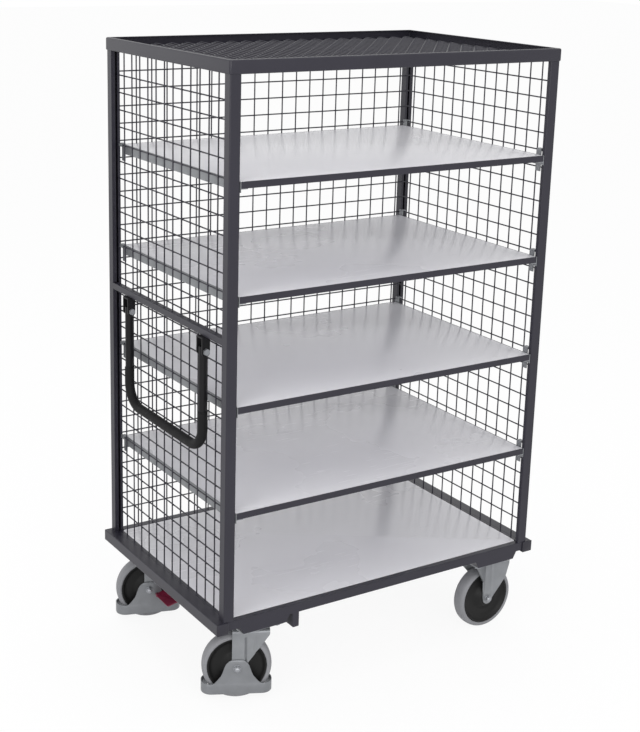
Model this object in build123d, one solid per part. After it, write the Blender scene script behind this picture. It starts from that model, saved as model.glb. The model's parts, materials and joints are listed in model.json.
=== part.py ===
from build123d import *
from math import hypot
import os

# Shelf trolley with wire walls. Millimetres, +Z up, origin on the floor under the middle of the frame.
# X runs along the length with the handle and the swivel casters at -X. The open front faces -Y.

# Overall sizes
frame_length = 1080.0
frame_depth = 712.0
first_bay = 314.0
mesh_pitch = 50.0
wires_per_bay = 6
shelf_count = 4
ring_rise = 5.0

# Corner posts, folded from sheet
post_web = 32.0
post_flange = 27.0
post_lip = 12.0
post_sheet = 2.5
post_corner = 3.0
rear_post_web = 27.0
rear_web_return = 8.0
rear_flange_return = 12.0

# Tubes of the base and of the walls
tube_wall = 2.0
tube_corner = 3.0
bar_overhang = 22.0
bar_width = 36.0
bar_height = 34.0
bar_past_post = 4.0
cap_thickness = 3.0
cap_depth = 15.0
cap_clearance = 0.2
board_thickness = 12.0
board_gap = 1.0
board_corner = 8.0
base_rail_height = 26.0
front_rail_width = 20.0
rear_rail_width = 27.0
ledge_width = 18.0
ledge_thickness = 3.0
strip_thickness = 3.0
wall_rail = 20.0
mid_rail_rise = 781.0
mid_rail_height = 20.0

# Caster channels and the cross channel under the base
channel_depth = 22.0
channel_sheet = 4.0
channel_slope = 12.0
cross_channel_width = 21.0
cross_channel_drop = 44.0
cross_channel_gap = 10.0

# Wire walls
wire = 4.0
wire_above_shelf = 2.0
left_wire_lift = -3.0
right_wire_lift = 11.0
rear_wire_lift = 8.0
side_wire_start = 45.0
rear_wire_start = 82.0
wire_end_margin = 40.0
wire_top_margin = 30.0

# Top ring and its expanded metal
ring_height = 36.0
ring_proud = 3.0
ring_sheet = 2.5
ring_lip = 10.0
ring_flange = 27.0
ring_corner = 4.0
expanded_gap = 1.0
expanded_thickness = 3.0
expanded_pitch_x = 50.0
expanded_pitch_y = 100.0
expanded_strand = 8.0
expanded_edge = 12.0

# Shelves
shelf_side_gap = 2.0
shelf_setback = 1.0
shelf_rear_gap = 2.0
shelf_rail_height = 18.0
shelf_sheet = 2.0
shelf_ledge = 22.0
shelf_board_thickness = 15.0
shelf_board_clearance = 0.5
hanger_height = 28.0
hook_width = 18.0
hook_sheet = 3.0
hook_length = 48.0
hook_clearance = 0.3
hook_before_wire = 20.5
hook_after_wire = 28.0

# Push handle
handle_inset = 2.0
handle_spread = 449.0
handle_drop = 283.0
handle_pivot_drop = 40.0
handle_tube = 24.0
handle_wall = 2.0
handle_bend = 65.0
handle_head = 12.0
grip_diameter = 28.0
grip_reach = 110.0
grip_clearance = 0.05
bracket_sheet = 4.0
bracket_gap = 0.4
bracket_depth = 24.0
bracket_below_pivot = 13.0
bracket_corner = 10.0
pivot_radius = 5.0
running_clearance = 0.05

# Casters
swivel_inset = 132.0
fixed_inset = 117.0
fixed_axle_offset = 16.0
caster_inset_y = 75.0
front_turn_angle = -26.0
rear_turn_angle = -18.0
trail = 40.0
wheel_radius = 100.0
caster_over_wheel = 42.0
tyre_width = 44.0
tyre_thickness = 15.0
tyre_shoulder = 10.0
rim_width = 40.0
rim_recess = 11.0
rim_flange = 12.0
hub_radius = 24.0
hub_length = 50.0
hub_play = 1.0
sleeve_radius = 10.0
axle_radius = 6.0
bolt_clearance = 0.2
fork_sheet = 4.0
fork_eye = 20.0
fork_crown = 6.0
fork_notch_radius = 10.5
fork_notch_depth = 8.0
plate_length = 137.0
plate_width = 137.0
plate_thickness = 5.0
plate_corner = 8.0
plate_hole_x = 105.0
plate_hole_y = 105.0
plate_bolt_radius = 5.0
race_radius = 38.0
race_height = 20.0
race_gap = 0.4
king_pin_radius = 8.0
king_head_radius = 14.0
king_head_height = 7.6

# Foot guard and brake pedal
guard_overhang = 1.0
guard_sheet = 3.0
guard_corner = 30.0
guard_bottom = 20.0
guard_height = 32.0
pedal_offset_x = 24.0
pedal_offset_z = -16.0
pedal_shaft = 5.0
pedal_hub = 8.0
pedal_reach = 88.0
pedal_heel = 6.0
pedal_root = 30.0
pedal_skew = 23.0
pedal_flare = 14.0
pedal_thickness = 5.0
pedal_tilt = 22.0
pedal_slope = 6.0
pedal_gap = 0.8

# Heights and faces that follow from the sizes above
half_length = frame_length / 2
half_depth = frame_depth / 2
caster_height = 2 * wheel_radius + caster_over_wheel
base_rail_bottom = caster_height + channel_depth
deck_height = base_rail_bottom + base_rail_height
board_bottom = deck_height - board_thickness
mid_rail_bottom = deck_height + mid_rail_rise
shelf_pitch = wires_per_bay * mesh_pitch
shelf_tops = [deck_height + first_bay + step * shelf_pitch for step in range(shelf_count)]
ring_top = shelf_tops[-1] + shelf_pitch + ring_rise
ring_bottom = ring_top - ring_height
inner_post = half_length - post_web
rear_inner_post = half_length - rear_post_web
rail_inner_x = half_length - wall_rail
rail_inner_y = half_depth - wall_rail
upright_x = rail_inner_x - wire / 2
upright_y = rail_inner_y - wire / 2
board_reach = rail_inner_x - wire - board_gap
crosswire_x = upright_x - wire
crosswire_y = upright_y - wire
shelf_half = inner_post - shelf_side_gap
shelf_front = -half_depth + shelf_setback
shelf_rear = crosswire_y - wire / 2 - shelf_rear_gap
handle_x = -half_length + handle_inset
pivot_height = mid_rail_bottom - handle_pivot_drop
fork_inner = hub_length / 2 + hub_play
fork_outer = fork_inner + fork_sheet
guard_outer = fork_outer + guard_sheet
guard_length = 2 * (wheel_radius + guard_overhang)
plate_bottom = caster_height - plate_thickness
crown_top = plate_bottom - race_height - race_gap
crown_bottom = crown_top - fork_crown


def block(x, y, z):
    """Box between two coordinates on each axis, in either order."""
    centre = [(a + b) / 2 for a, b in (x, y, z)]
    size = [abs(b - a) for a, b in (x, y, z)]
    return Pos(*centre) * Box(*size)


def shrunk(span, amount):
    """The span made shorter by the amount at both ends."""
    low, high = min(span), max(span)
    return (low + amount, high - amount)


def tube_x(x, y, z):
    """Rectangular tube along X with rounded upper corners, open at both ends."""
    outside = block(x, y, z)
    outside = fillet(outside.edges().filter_by(Axis.X).group_by(Axis.Z)[-1], tube_corner)
    return outside - block(x, shrunk(y, tube_wall), shrunk(z, tube_wall))


def tube_y(x, y, z):
    """Rectangular tube along Y with rounded corners, open at both ends."""
    outside = block(x, y, z)
    outside = fillet(outside.edges().filter_by(Axis.Y), tube_corner)
    return outside - block(shrunk(x, tube_wall), y, shrunk(z, tube_wall))


def rod(start, end, radius):
    """Round bar between two points."""
    direction = Vector(*end) - Vector(*start)
    return Solid.make_cylinder(radius, direction.length, Plane(origin=start, z_dir=direction))


def bolt_set(plane, grip, radius):
    """Hexagon bolt with its nut. The head lies under the plane and the nut beyond the grip length."""
    head_height = 1.3 * radius
    nut_height = 1.6 * radius
    flats = 1.7 * radius
    hexagon = RegularPolygon(flats, 6, major_radius=False)
    length = grip + nut_height + 0.4 * radius
    bolt = extrude(plane * hexagon, -head_height) + extrude(plane * Circle(radius), length)
    nut = extrude(plane.offset(grip) * (hexagon - Circle(radius)), nut_height)
    return [bolt, nut]


def rounded_post(post, corners):
    """The post with its upright edges at these places rounded."""
    middle = (deck_height + ring_bottom) / 2
    uprights = post.edges().filter_by(Axis.Z)
    edges = [uprights.sort_by_distance((x, y, middle))[0] for x, y in corners]
    return fillet(edges, post_corner)


def front_post(side):
    """Folded post: web on the front face, flange along the side, short lip inside."""
    x = side * half_length
    inner = x - side * post_web
    front = -half_depth
    height = (deck_height, ring_bottom)
    web = block((x, inner), (front, front + post_sheet), height)
    flange = block((x, x - side * post_sheet), (front, front + post_flange), height)
    lip = block((inner + side * post_sheet, inner), (front, front + post_lip), height)
    return rounded_post(web + flange + lip, ((x, front), (inner, front)))


def rear_post(side):
    """Folded post of four walls, with an upright slot between the two edges of its sheet."""
    x = side * half_length
    inner = side * rear_inner_post
    face = half_depth - post_flange
    height = (deck_height, ring_bottom)
    post = rounded_post(block((x, inner), (half_depth, face), height), ((x, half_depth), (inner, half_depth)))
    post -= block(shrunk((x, inner), post_sheet), shrunk((half_depth, face), post_sheet), height)
    slot = (x - side * rear_flange_return, inner + side * rear_web_return)
    return post - block(slot, (face, face + post_sheet), height)


def end_bar(side):
    """Tube across one end of the base, with a flat strip inside that the mesh wires stand on."""
    inner = side * (half_length + bar_overhang - bar_width)
    x = (side * (half_length + bar_overhang), inner)
    reach = half_depth + bar_past_post - cap_thickness
    tube = tube_y(x, (-reach, reach), (deck_height - bar_height, deck_height))
    edge = side * (board_reach + board_gap / 2)
    y = (front_rail_width - half_depth, half_depth - rear_rail_width)
    return tube + block((inner + side * tube_wall / 2, edge), y, (deck_height - strip_thickness, deck_height))


def end_bar_caps():
    """Plugs in the four open ends of the end bars."""
    caps = []
    for side in (-1, 1):
        x = (side * (half_length + bar_overhang), side * (half_length + bar_overhang - bar_width))
        z = (deck_height - bar_height, deck_height)
        inside = tube_wall + cap_clearance
        for end in (-1, 1):
            tip = end * (half_depth + bar_past_post)
            seat = tip - end * cap_thickness
            plug = block(shrunk(x, inside), (seat, seat - end * cap_depth), shrunk(z, inside))
            face = block(x, (tip, seat), z)
            caps.append(fillet(face.edges().filter_by(Axis.Y), tube_corner) + plug)
    return caps


def base_rail(end, width):
    """Long rail between the end bars, with a ledge inside that carries the base board."""
    face = end * half_depth
    back = face - end * width
    reach = half_length + bar_overhang - bar_width
    rail = tube_x((-reach, reach), (face, back), (base_rail_bottom, deck_height))
    ledge_height = (board_bottom - ledge_thickness, board_bottom)
    return rail + block((-reach, reach), (back, back - end * ledge_width), ledge_height)


def caster_channel(centre_x):
    """Folded channel across the depth with sloping sides and closed ends, open at the top."""

    def prism(inset, floor, reach):
        foot = plate_length / 2 - inset
        head = foot + channel_slope
        corners = ((-head, channel_depth), (head, channel_depth), (foot, floor), (-foot, floor))
        return extrude(Plane.XZ * Polygon(*corners, align=None), reach, both=True)

    shell = prism(0, 0, half_depth) - prism(channel_sheet, channel_sheet, half_depth - channel_sheet)
    channel = Pos(centre_x, 0, caster_height) * shell
    for end in (-1, 1):
        for hole_x, hole_y in plate_holes():
            x = centre_x + hole_x
            y = end * (half_depth - caster_inset_y) + hole_y
            below = caster_height - channel_sheet
            channel -= rod((x, y, below), (x, y, base_rail_bottom), plate_bolt_radius + bolt_clearance)
    return channel


def plate_holes():
    """Places of the four bolt holes of a caster plate, from the plate's middle."""
    return [(sx * plate_hole_x / 2, sy * plate_hole_y / 2) for sx in (-1, 1) for sy in (-1, 1)]


def cross_channel():
    """Narrow channel under the base rails beside the swivel casters, with closed ends and an open top."""
    left = -half_length + swivel_inset + plate_length / 2 + channel_slope + cross_channel_gap
    x = (left, left + cross_channel_width)
    y = (-half_depth, half_depth)
    floor = base_rail_bottom - cross_channel_drop
    channel = block(x, y, (floor, base_rail_bottom))
    channel = fillet(channel.edges().filter_by(Axis.Y).group_by(Axis.Z)[0], tube_corner)
    return channel - block(shrunk(x, tube_wall), shrunk(y, tube_wall), (floor + tube_wall, base_rail_bottom))


def base_board():
    """Board between the base rails, flush with their tops."""
    front = -half_depth + front_rail_width + board_gap
    rear = half_depth - rear_rail_width - board_gap
    outline = RectangleRounded(2 * board_reach, rear - front, board_corner)
    return Pos(0, (front + rear) / 2, board_bottom) * extrude(outline, board_thickness)


def left_mid_rail():
    """Tube across the left end wall, between the flanges of its posts."""
    reach = half_depth - post_flange
    z = (mid_rail_bottom, mid_rail_bottom + mid_rail_height)
    return tube_y((-half_length, -rail_inner_x), (-reach, reach), z)


def grid(start, stop, pitch):
    """Evenly stepped places from start, none past stop."""
    count = int((stop - start) / pitch) + 1
    return [start + step * pitch for step in range(count)]


def side_uprights():
    """Places along Y of the upright wires of the end walls."""
    return grid(-half_depth + side_wire_start, half_depth - wire_end_margin, mesh_pitch)


def crosswire_heights(lift):
    """Heights of the crosswires of a wall."""
    shelf_wire = shelf_tops[0] + wire_above_shelf + lift
    below = int((first_bay - wire_end_margin) / mesh_pitch)
    return grid(shelf_wire - below * mesh_pitch, ring_bottom - wire_top_margin, mesh_pitch)


def side_lift(side):
    """Height of an end wall's crosswires above the even grid."""
    return left_wire_lift if side < 0 else right_wire_lift


def side_mesh(side):
    """Welded wire mesh of one end wall, from the web of the front post to the face of the rear post."""
    x = side * upright_x
    wires = [rod((x, y, deck_height), (x, y, ring_bottom), wire / 2) for y in side_uprights()]
    front = post_sheet - half_depth
    rear = half_depth - post_flange
    x = side * crosswire_x
    wires += [rod((x, front, z), (x, rear, z), wire / 2) for z in crosswire_heights(side_lift(side))]
    return wires


def rear_mesh():
    """Welded wire mesh of the rear wall, between its posts."""
    places = grid(-half_length + rear_wire_start, half_length - wire_end_margin, mesh_pitch)
    wires = [rod((x, upright_y, deck_height), (x, upright_y, ring_bottom), wire / 2) for x in places]
    reach = rear_inner_post
    y = crosswire_y
    wires += [rod((-reach, y, z), (reach, y, z), wire / 2) for z in crosswire_heights(rear_wire_lift)]
    return wires


def top_ring():
    """Rail ring round the top: upright web, narrow top lip and a wider bottom flange, all turned in."""
    reach_x = half_length + ring_proud
    reach_y = half_depth + ring_proud

    def band(width, z):
        outer = block((-reach_x, reach_x), (-reach_y, reach_y), z)
        outer = fillet(outer.edges().filter_by(Axis.Z), ring_corner)
        return outer - block((width - reach_x, reach_x - width), (width - reach_y, reach_y - width), z)

    web = band(ring_sheet, (ring_bottom, ring_top))
    lip = band(ring_lip, (ring_top - ring_sheet, ring_top))
    flange = band(ring_flange, (ring_bottom, ring_bottom + ring_sheet))
    return web + lip + flange


def expanded_sheet():
    """Expanded metal inside the top ring: one sheet with staggered diamond openings."""
    reach = ring_proud - ring_sheet - expanded_gap
    length = 2 * (half_length + reach)
    depth = 2 * (half_depth + reach)
    half_x = expanded_pitch_x / 2
    half_y = expanded_pitch_y / 2
    edge_distance = half_x * half_y / hypot(half_x, half_y)
    scale = 1 - expanded_strand / 2 / edge_distance
    open_x = half_x * scale
    open_y = half_y * scale
    columns = int((length / 2 - expanded_edge - half_x) / half_x)
    rows = int((depth / 2 - expanded_edge - half_y) / half_y)
    openings = []
    for row in range(-rows, rows + 1):
        for column in range(-columns, columns + 1):
            if (row + column) % 2:
                continue
            x = column * half_x
            y = row * half_y
            corners = [(x + open_x, y), (x, y + open_y), (x - open_x, y), (x, y - open_y)]
            openings.append(Wire.make_polygon([Vector(*corner) for corner in corners]))
    sheet = Face(Wire.make_rect(length, depth), openings)
    return Pos(0, 0, ring_bottom + ring_sheet) * extrude(sheet, expanded_thickness, dir=(0, 0, 1))


def shelf_board(top):
    """Board of one shelf, inside its rails and hangers."""
    inset = shelf_sheet + shelf_board_clearance
    x = (inset - shelf_half, shelf_half - inset)
    y = (shelf_front + inset, shelf_rear - inset)
    return block(x, y, (top - shelf_board_thickness, top))


def shelf_rails(top):
    """Front and rear angles of one shelf, each with a ledge under the board."""
    ledge_top = top - shelf_board_thickness
    ledge_bottom = ledge_top - shelf_sheet
    reach = shelf_half - shelf_sheet - shelf_board_clearance
    x = (-reach, reach)
    rails = []
    for face, inward in ((shelf_front, 1), (shelf_rear, -1)):
        web = block(x, (face, face + inward * shelf_sheet), (top - shelf_rail_height, top))
        ledge = block(x, (face, face + inward * shelf_ledge), (ledge_bottom, ledge_top))
        rails.append(web + ledge)
    return rails


def shelf_hangers(top):
    """Side angles of one shelf with the hooks that hang over a crosswire of each end wall."""
    ledge_top = top - shelf_rail_height
    lip_face = crosswire_x + wire / 2 + hook_clearance
    uprights = side_uprights()
    places = (uprights[0] - hook_before_wire, uprights[-1] + hook_after_wire)
    hangers = []
    for side in (-1, 1):
        wire_height = top + wire_above_shelf + side_lift(side)
        hook_top = wire_height + wire / 2 + hook_clearance + hook_sheet
        face = side * shelf_half
        inner = side * (shelf_half - shelf_sheet)
        hanger = block((face, inner), (shelf_front, shelf_rear), (top - hanger_height, top))
        ledge = (ledge_top - shelf_sheet, ledge_top)
        hanger += block((face, face - side * shelf_ledge), (shelf_front, shelf_rear), ledge)
        for place in places:
            y = (place - hook_width / 2, place + hook_width / 2)
            strip = block((face, face + side * hook_sheet), y, (top - hook_length, hook_top))
            over = block((face, side * (lip_face + hook_sheet)), y, (hook_top - hook_sheet, hook_top))
            lip = block((side * lip_face, side * (lip_face + hook_sheet)), y, (wire_height - wire, hook_top))
            hanger += strip + over + lip
        hangers.append(hanger)
    return hangers


def handle_legs():
    """Places along Y of the two legs of the push handle."""
    return (-handle_spread / 2, handle_spread / 2)


def bent_tube(rise, outer, inner):
    """U-bent tube in the plane of the handle, its legs rising above the bottom run."""
    low = pivot_height - handle_drop
    near, far = handle_legs()
    corners = ((near, low + rise), (near, low), (far, low), (far, low + rise))
    path = Plane.YZ.offset(handle_x) * FilletPolyline(*corners, radius=handle_bend)
    start = Plane(origin=path @ 0, z_dir=path % 0)
    return sweep(start * Circle(outer), path=path) - sweep(start * Circle(inner), path=path)


def handle_bar():
    """Handle tube with its two pivot bores."""
    bar = bent_tube(handle_drop + handle_head, handle_tube / 2, handle_tube / 2 - handle_wall)
    for y in handle_legs():
        bore = pivot_radius + running_clearance
        bar -= rod((handle_x, y - handle_tube, pivot_height), (handle_x, y + handle_tube, pivot_height), bore)
    return bar


def handle_grip():
    """Grip sleeve over the lower part of the handle."""
    return bent_tube(grip_reach, grip_diameter / 2, handle_tube / 2 + grip_clearance)


def handle_brackets():
    """Two clevis brackets under the mid rail."""
    inner = handle_tube / 2 + bracket_gap
    outer = inner + bracket_sheet
    x = (handle_x - bracket_depth / 2, handle_x + bracket_depth / 2)
    low = pivot_height - bracket_below_pivot
    brackets = []
    for y in handle_legs():
        bracket = block(x, (y - outer, y + outer), (low, mid_rail_bottom))
        bracket = fillet(bracket.edges().filter_by(Axis.Y).group_by(Axis.Z)[0], bracket_corner)
        bracket -= block(x, (y - inner, y + inner), (low, mid_rail_bottom - bracket_sheet))
        hole = pivot_radius + bolt_clearance
        bracket -= rod((handle_x, y - 2 * outer, pivot_height), (handle_x, y + 2 * outer, pivot_height), hole)
        brackets.append(bracket)
    return brackets


def handle_bolts():
    """Pivot bolts of the handle, heads to the front."""
    outer = handle_tube / 2 + bracket_gap + bracket_sheet
    bolts = []
    for y in handle_legs():
        seat = Plane(origin=(handle_x, y - outer, pivot_height), z_dir=(0, 1, 0))
        bolts += bolt_set(seat, 2 * outer, pivot_radius)
    return bolts


def across(radius, width):
    """Disc about the wheel's axle, which runs along Y, centred on the wheel."""
    return Rot(90, 0, 0) * Cylinder(radius, width)


def wheel_rim():
    """Dished plastic rim with its hub, bored to run on the sleeve."""
    radius = wheel_radius - tyre_thickness
    rim = across(radius, rim_width)
    dish = across(radius - rim_flange, rim_recess) - across(hub_radius, rim_recess)
    for end in (-1, 1):
        rim -= Pos(0, end * (rim_width - rim_recess) / 2, 0) * dish
    rim += across(hub_radius, hub_length)
    return rim - across(sleeve_radius + running_clearance, hub_length)


def wheel_tyre():
    """Solid tyre with rounded shoulders."""
    tyre = across(wheel_radius, tyre_width)
    shoulders = tyre.edges().filter_by(GeomType.CIRCLE)
    return fillet(shoulders, tyre_shoulder) - across(wheel_radius - tyre_thickness, tyre_width)


def axle_set(grip):
    """Axle bolt with its nut, and the sleeve that the hub runs on."""
    seat = Plane(origin=(0, -grip, 0), z_dir=(0, 1, 0))
    sleeve = across(sleeve_radius, 2 * fork_inner) - across(axle_radius, 2 * fork_inner)
    return bolt_set(seat, 2 * grip, axle_radius) + [sleeve]


def fork_body(outline, crown):
    """Two legs and a crown, cut from the outline of the side view about the axle."""
    body = extrude(Plane.XZ * outline, fork_outer, both=True)
    span = 2 * plate_length
    body -= block((-span, span), (-fork_inner, fork_inner), (-wheel_radius, crown))
    return body - across(axle_radius + bolt_clearance, 4 * fork_outer)


def swivel_fork():
    """Fork of a swivel caster about its axle, turning on the king pin."""
    top = crown_top - wheel_radius
    heel = -0.75 * fork_eye
    toe = trail + 0.4 * plate_length
    chin = 0.7 * fork_eye
    edge = ((heel, 0), (heel, top), (toe, top), (0.95 * toe, 0.85 * top), (0.8 * toe, 0.68 * top), (chin, 0))
    side = Polygon(*edge, align=None)
    fork = fork_body(side + Circle(fork_eye), crown_bottom - wheel_radius)
    bore = king_pin_radius + running_clearance
    return fork - rod((trail, 0, top - 2 * fork_crown), (trail, 0, top + fork_crown), bore)


def fixed_fork():
    """Fork of a fixed caster about its axle, in one piece with its plate. Its edges fold out to the plate's corners."""
    top = plate_bottom - wheel_radius
    foot = 0.9 * fork_eye
    front = plate_length / 2 - fixed_axle_offset
    back = -plate_length / 2 - fixed_axle_offset
    edge = [(foot, 0), (0.83 * front, 0.55 * top), (0.95 * front, 0.9 * top), (0.95 * front, top)]
    edge += [(0.95 * back, top), (0.82 * back, 0.9 * top), (0.52 * back, 0.64 * top), (0.26 * back, 0.44 * top)]
    outline = Polygon(*edge, (-foot, 0), align=None) + Circle(foot)
    side = extrude(Plane.XZ * outline, plate_width / 2, both=True)
    lean = plate_width / 2 - fork_outer
    profile = [(back, lean), (-foot, 0), (foot, 0), (front, lean)]
    inner = [(x, fork_inner + out) for x, out in profile]
    outer = [(x, fork_outer + out) for x, out in reversed(profile)]
    leg = Pos(0, 0, -foot) * extrude(Polygon(*inner, *outer, align=None), top + foot)
    plate = Pos(-fixed_axle_offset, 0, top)
    fork = plate * drilled_plate()
    for sheet in (leg, mirror(leg, Plane.XZ)):
        folded = sheet & side
        for x, y in plate_holes():
            folded -= plate * rod((x, y, -fork_notch_depth), (x, y, 0), fork_notch_radius)
        fork += folded
    return fork - across(axle_radius + bolt_clearance, 4 * fork_outer)


def drilled_plate():
    """Caster plate on the XY plane with its four bolt holes."""
    outline = RectangleRounded(plate_length, plate_width, plate_corner)
    for x, y in plate_holes():
        outline -= Pos(x, y) * Circle(plate_bolt_radius + bolt_clearance)
    return extrude(outline, plate_thickness)


def swivel_plate():
    """Swivel caster plate with its race and riveted king pin, about the swivel axis."""
    plate = Pos(0, 0, plate_bottom) * drilled_plate()
    plate += rod((0, 0, plate_bottom), (0, 0, plate_bottom - race_height), race_radius)
    head_top = crown_bottom - race_gap
    plate += rod((0, 0, plate_bottom), (0, 0, head_top), king_pin_radius)
    return plate + rod((0, 0, head_top), (0, 0, head_top - king_head_height), king_head_radius)


def foot_guard(pedal):
    """Skirt round the foot of a swivel wheel with a bell-shaped plate up to each end of the axle."""
    width = 2 * guard_outer
    inner_corner = guard_corner - guard_sheet
    skirt = RectangleRounded(guard_length, width, guard_corner)
    skirt -= RectangleRounded(guard_length - 2 * guard_sheet, width - 2 * guard_sheet, inner_corner)
    floor = guard_bottom - wheel_radius
    shoulder = floor + guard_height
    foot = guard_length / 2 - guard_corner
    shape = ((0.18, 0.26), (0.32, 0.14), (0.38, -0.03), (0.46, -0.25), (0.58, -0.38))
    flank = [(wheel_radius * x, wheel_radius * z) for x, z in shape] + [(foot, shoulder)]
    right = Spline(*flank)
    left = Spline(*[(-x, z) for x, z in flank])
    top = Line(left @ 0, right @ 0)
    bell = make_face([right, top, left, Polyline(left @ 1, (-foot, floor), (foot, floor), right @ 1)])
    cheeks = extrude(Plane.XZ * bell, guard_outer, both=True)
    span = (-guard_length, guard_length)
    cheeks -= block(span, (-fork_outer, fork_outer), (-wheel_radius, wheel_radius))
    guard = Pos(0, 0, floor) * extrude(skirt, guard_height) + cheeks
    guard -= across(axle_radius + bolt_clearance, 4 * guard_outer)
    if pedal:
        x, z = pedal_offset_x, pedal_offset_z
        guard -= rod((x, -2 * guard_outer, z), (x, 0, z), pedal_shaft + running_clearance)
    return guard


def brake_pedal():
    """Foot pedal on a short shaft through the front cheek of the guard, about the axle."""
    outside = -guard_outer - pedal_gap
    inside = -fork_outer + pedal_gap
    shaft = rod((0, outside, 0), (0, inside, 0), pedal_shaft)
    collar = rod((0, inside, 0), (0, inside + guard_sheet, 0), pedal_hub)
    hub = rod((0, outside, 0), (0, outside - 2 * pedal_hub, 0), pedal_shaft)
    root = ((-pedal_heel, 0), (pedal_root, 0))
    edge = ((pedal_root + pedal_skew + pedal_flare, -pedal_reach), (pedal_skew - pedal_heel, -pedal_reach))
    tread = extrude(Polygon(*root, *edge, align=None), pedal_thickness / 2, both=True)
    tread = Pos(0, outside, 0) * Rot(0, -pedal_tilt, 0) * Rot(pedal_slope, 0, 0) * tread
    return Pos(pedal_offset_x, 0, pedal_offset_z) * (tread + hub + shaft + collar)


def plate_bolts():
    """Bolts of all four caster plates, heads under the plates and nuts inside the channels."""
    bolts = []
    for centre_x in (-half_length + swivel_inset, half_length - fixed_inset):
        for end in (-1, 1):
            centre_y = end * (half_depth - caster_inset_y)
            for x, y in plate_holes():
                seat = Plane(origin=(centre_x + x, centre_y + y, plate_bottom), z_dir=(0, 0, 1))
                bolts += bolt_set(seat, plate_thickness + channel_sheet, plate_bolt_radius)
    return bolts


def build():
    """Every node of the trolley: one solid or a list of solids under each name."""
    nodes = {
        "left_end_bar": end_bar(-1),
        "right_end_bar": end_bar(1),
        "end_bar_caps": end_bar_caps(),
        "front_base_rail": base_rail(-1, front_rail_width),
        "rear_base_rail": base_rail(1, rear_rail_width),
        "swivel_caster_channel": caster_channel(-half_length + swivel_inset),
        "fixed_caster_channel": caster_channel(half_length - fixed_inset),
        "cross_channel": cross_channel(),
        "base_board": base_board(),
        "left_mid_rail": left_mid_rail(),
        "left_mesh": side_mesh(-1),
        "right_mesh": side_mesh(1),
        "rear_mesh": rear_mesh(),
        "top_ring": top_ring(),
        "top_mesh": expanded_sheet(),
        "handle_bar": handle_bar(),
        "handle_grip": handle_grip(),
        "handle_brackets": handle_brackets(),
        "handle_bolts": handle_bolts(),
        "caster_bolts": plate_bolts(),
    }
    ends = {"front": -1, "rear": 1}
    for side, way in (("left", -1), ("right", 1)):
        nodes[f"front_{side}_post"] = front_post(way)
        nodes[f"rear_{side}_post"] = rear_post(way)
    for number, top in enumerate(shelf_tops, 1):
        nodes[f"shelf_{number}_board"] = shelf_board(top)
        nodes[f"shelf_{number}_rails"] = shelf_rails(top)
        nodes[f"shelf_{number}_hangers"] = shelf_hangers(top)
    fixed_axles = []
    for end, turn in (("front", front_turn_angle), ("rear", rear_turn_angle)):
        y = ends[end] * (half_depth - caster_inset_y)
        axis = Pos(-half_length + swivel_inset, y, 0)
        axle = axis * Rot(0, 0, turn) * Pos(-trail, 0, wheel_radius)
        braked = end == "rear"
        nodes[f"{end}_swivel_plate"] = axis * swivel_plate()
        nodes[f"{end}_swivel_fork"] = axle * swivel_fork()
        nodes[f"{end}_swivel_guard"] = axle * foot_guard(braked)
        nodes[f"{end}_swivel_axle"] = [axle * piece for piece in axle_set(guard_outer)]
        nodes[f"{end}_swivel_rim"] = axle * wheel_rim()
        nodes[f"{end}_swivel_tyre"] = axle * wheel_tyre()
        if braked:
            nodes["brake_pedal"] = axle * brake_pedal()
        axle = Pos(half_length - fixed_inset + fixed_axle_offset, y, wheel_radius)
        nodes[f"{end}_fixed_fork"] = axle * fixed_fork()
        nodes[f"{end}_fixed_rim"] = axle * wheel_rim()
        nodes[f"{end}_fixed_tyre"] = axle * wheel_tyre()
        fixed_axles += [axle * piece for piece in axle_set(fork_outer)]
    nodes["fixed_axles"] = fixed_axles
    return nodes


os.makedirs("parts", exist_ok=True)
for name, shape in build().items():
    node = Compound(children=list(shape)) if isinstance(shape, list) else shape
    node.label = name
    export_step(node, f"parts/{name}.step")
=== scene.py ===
"""Looks of a shelf trolley with wire walls: finishes, pressed casters, expanded top sheet and a plain studio.

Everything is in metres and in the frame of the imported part: +Z up, open front towards -Y, push handle at -X.
"""

from __future__ import annotations

import json
import logging
import math
from collections.abc import Callable, Sequence
from dataclasses import dataclass
from enum import Enum
from typing import Any

import bpy
from bpy.types import Material, NodeSocket, NodeTree, Object
from mathutils import Matrix, Vector

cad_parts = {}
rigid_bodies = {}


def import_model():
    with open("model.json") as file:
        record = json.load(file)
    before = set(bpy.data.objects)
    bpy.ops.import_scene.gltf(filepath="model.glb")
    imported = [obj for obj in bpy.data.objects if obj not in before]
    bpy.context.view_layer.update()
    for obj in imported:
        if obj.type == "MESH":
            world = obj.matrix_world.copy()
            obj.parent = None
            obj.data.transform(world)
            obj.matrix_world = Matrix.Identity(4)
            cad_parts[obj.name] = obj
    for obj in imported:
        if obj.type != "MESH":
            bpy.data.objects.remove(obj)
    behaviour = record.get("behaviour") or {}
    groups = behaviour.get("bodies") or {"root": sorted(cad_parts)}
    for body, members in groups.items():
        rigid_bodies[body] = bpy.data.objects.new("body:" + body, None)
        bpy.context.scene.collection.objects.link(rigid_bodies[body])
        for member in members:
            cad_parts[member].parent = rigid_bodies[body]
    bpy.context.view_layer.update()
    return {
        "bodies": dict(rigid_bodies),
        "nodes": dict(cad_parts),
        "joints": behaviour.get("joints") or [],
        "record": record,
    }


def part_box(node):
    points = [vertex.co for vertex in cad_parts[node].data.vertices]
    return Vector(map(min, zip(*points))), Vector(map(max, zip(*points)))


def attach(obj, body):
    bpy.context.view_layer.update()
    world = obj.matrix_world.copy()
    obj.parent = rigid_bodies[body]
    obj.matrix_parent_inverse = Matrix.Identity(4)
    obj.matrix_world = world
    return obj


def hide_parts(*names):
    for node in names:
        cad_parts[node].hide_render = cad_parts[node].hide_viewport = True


LOG = logging.getLogger("trolley")

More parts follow.
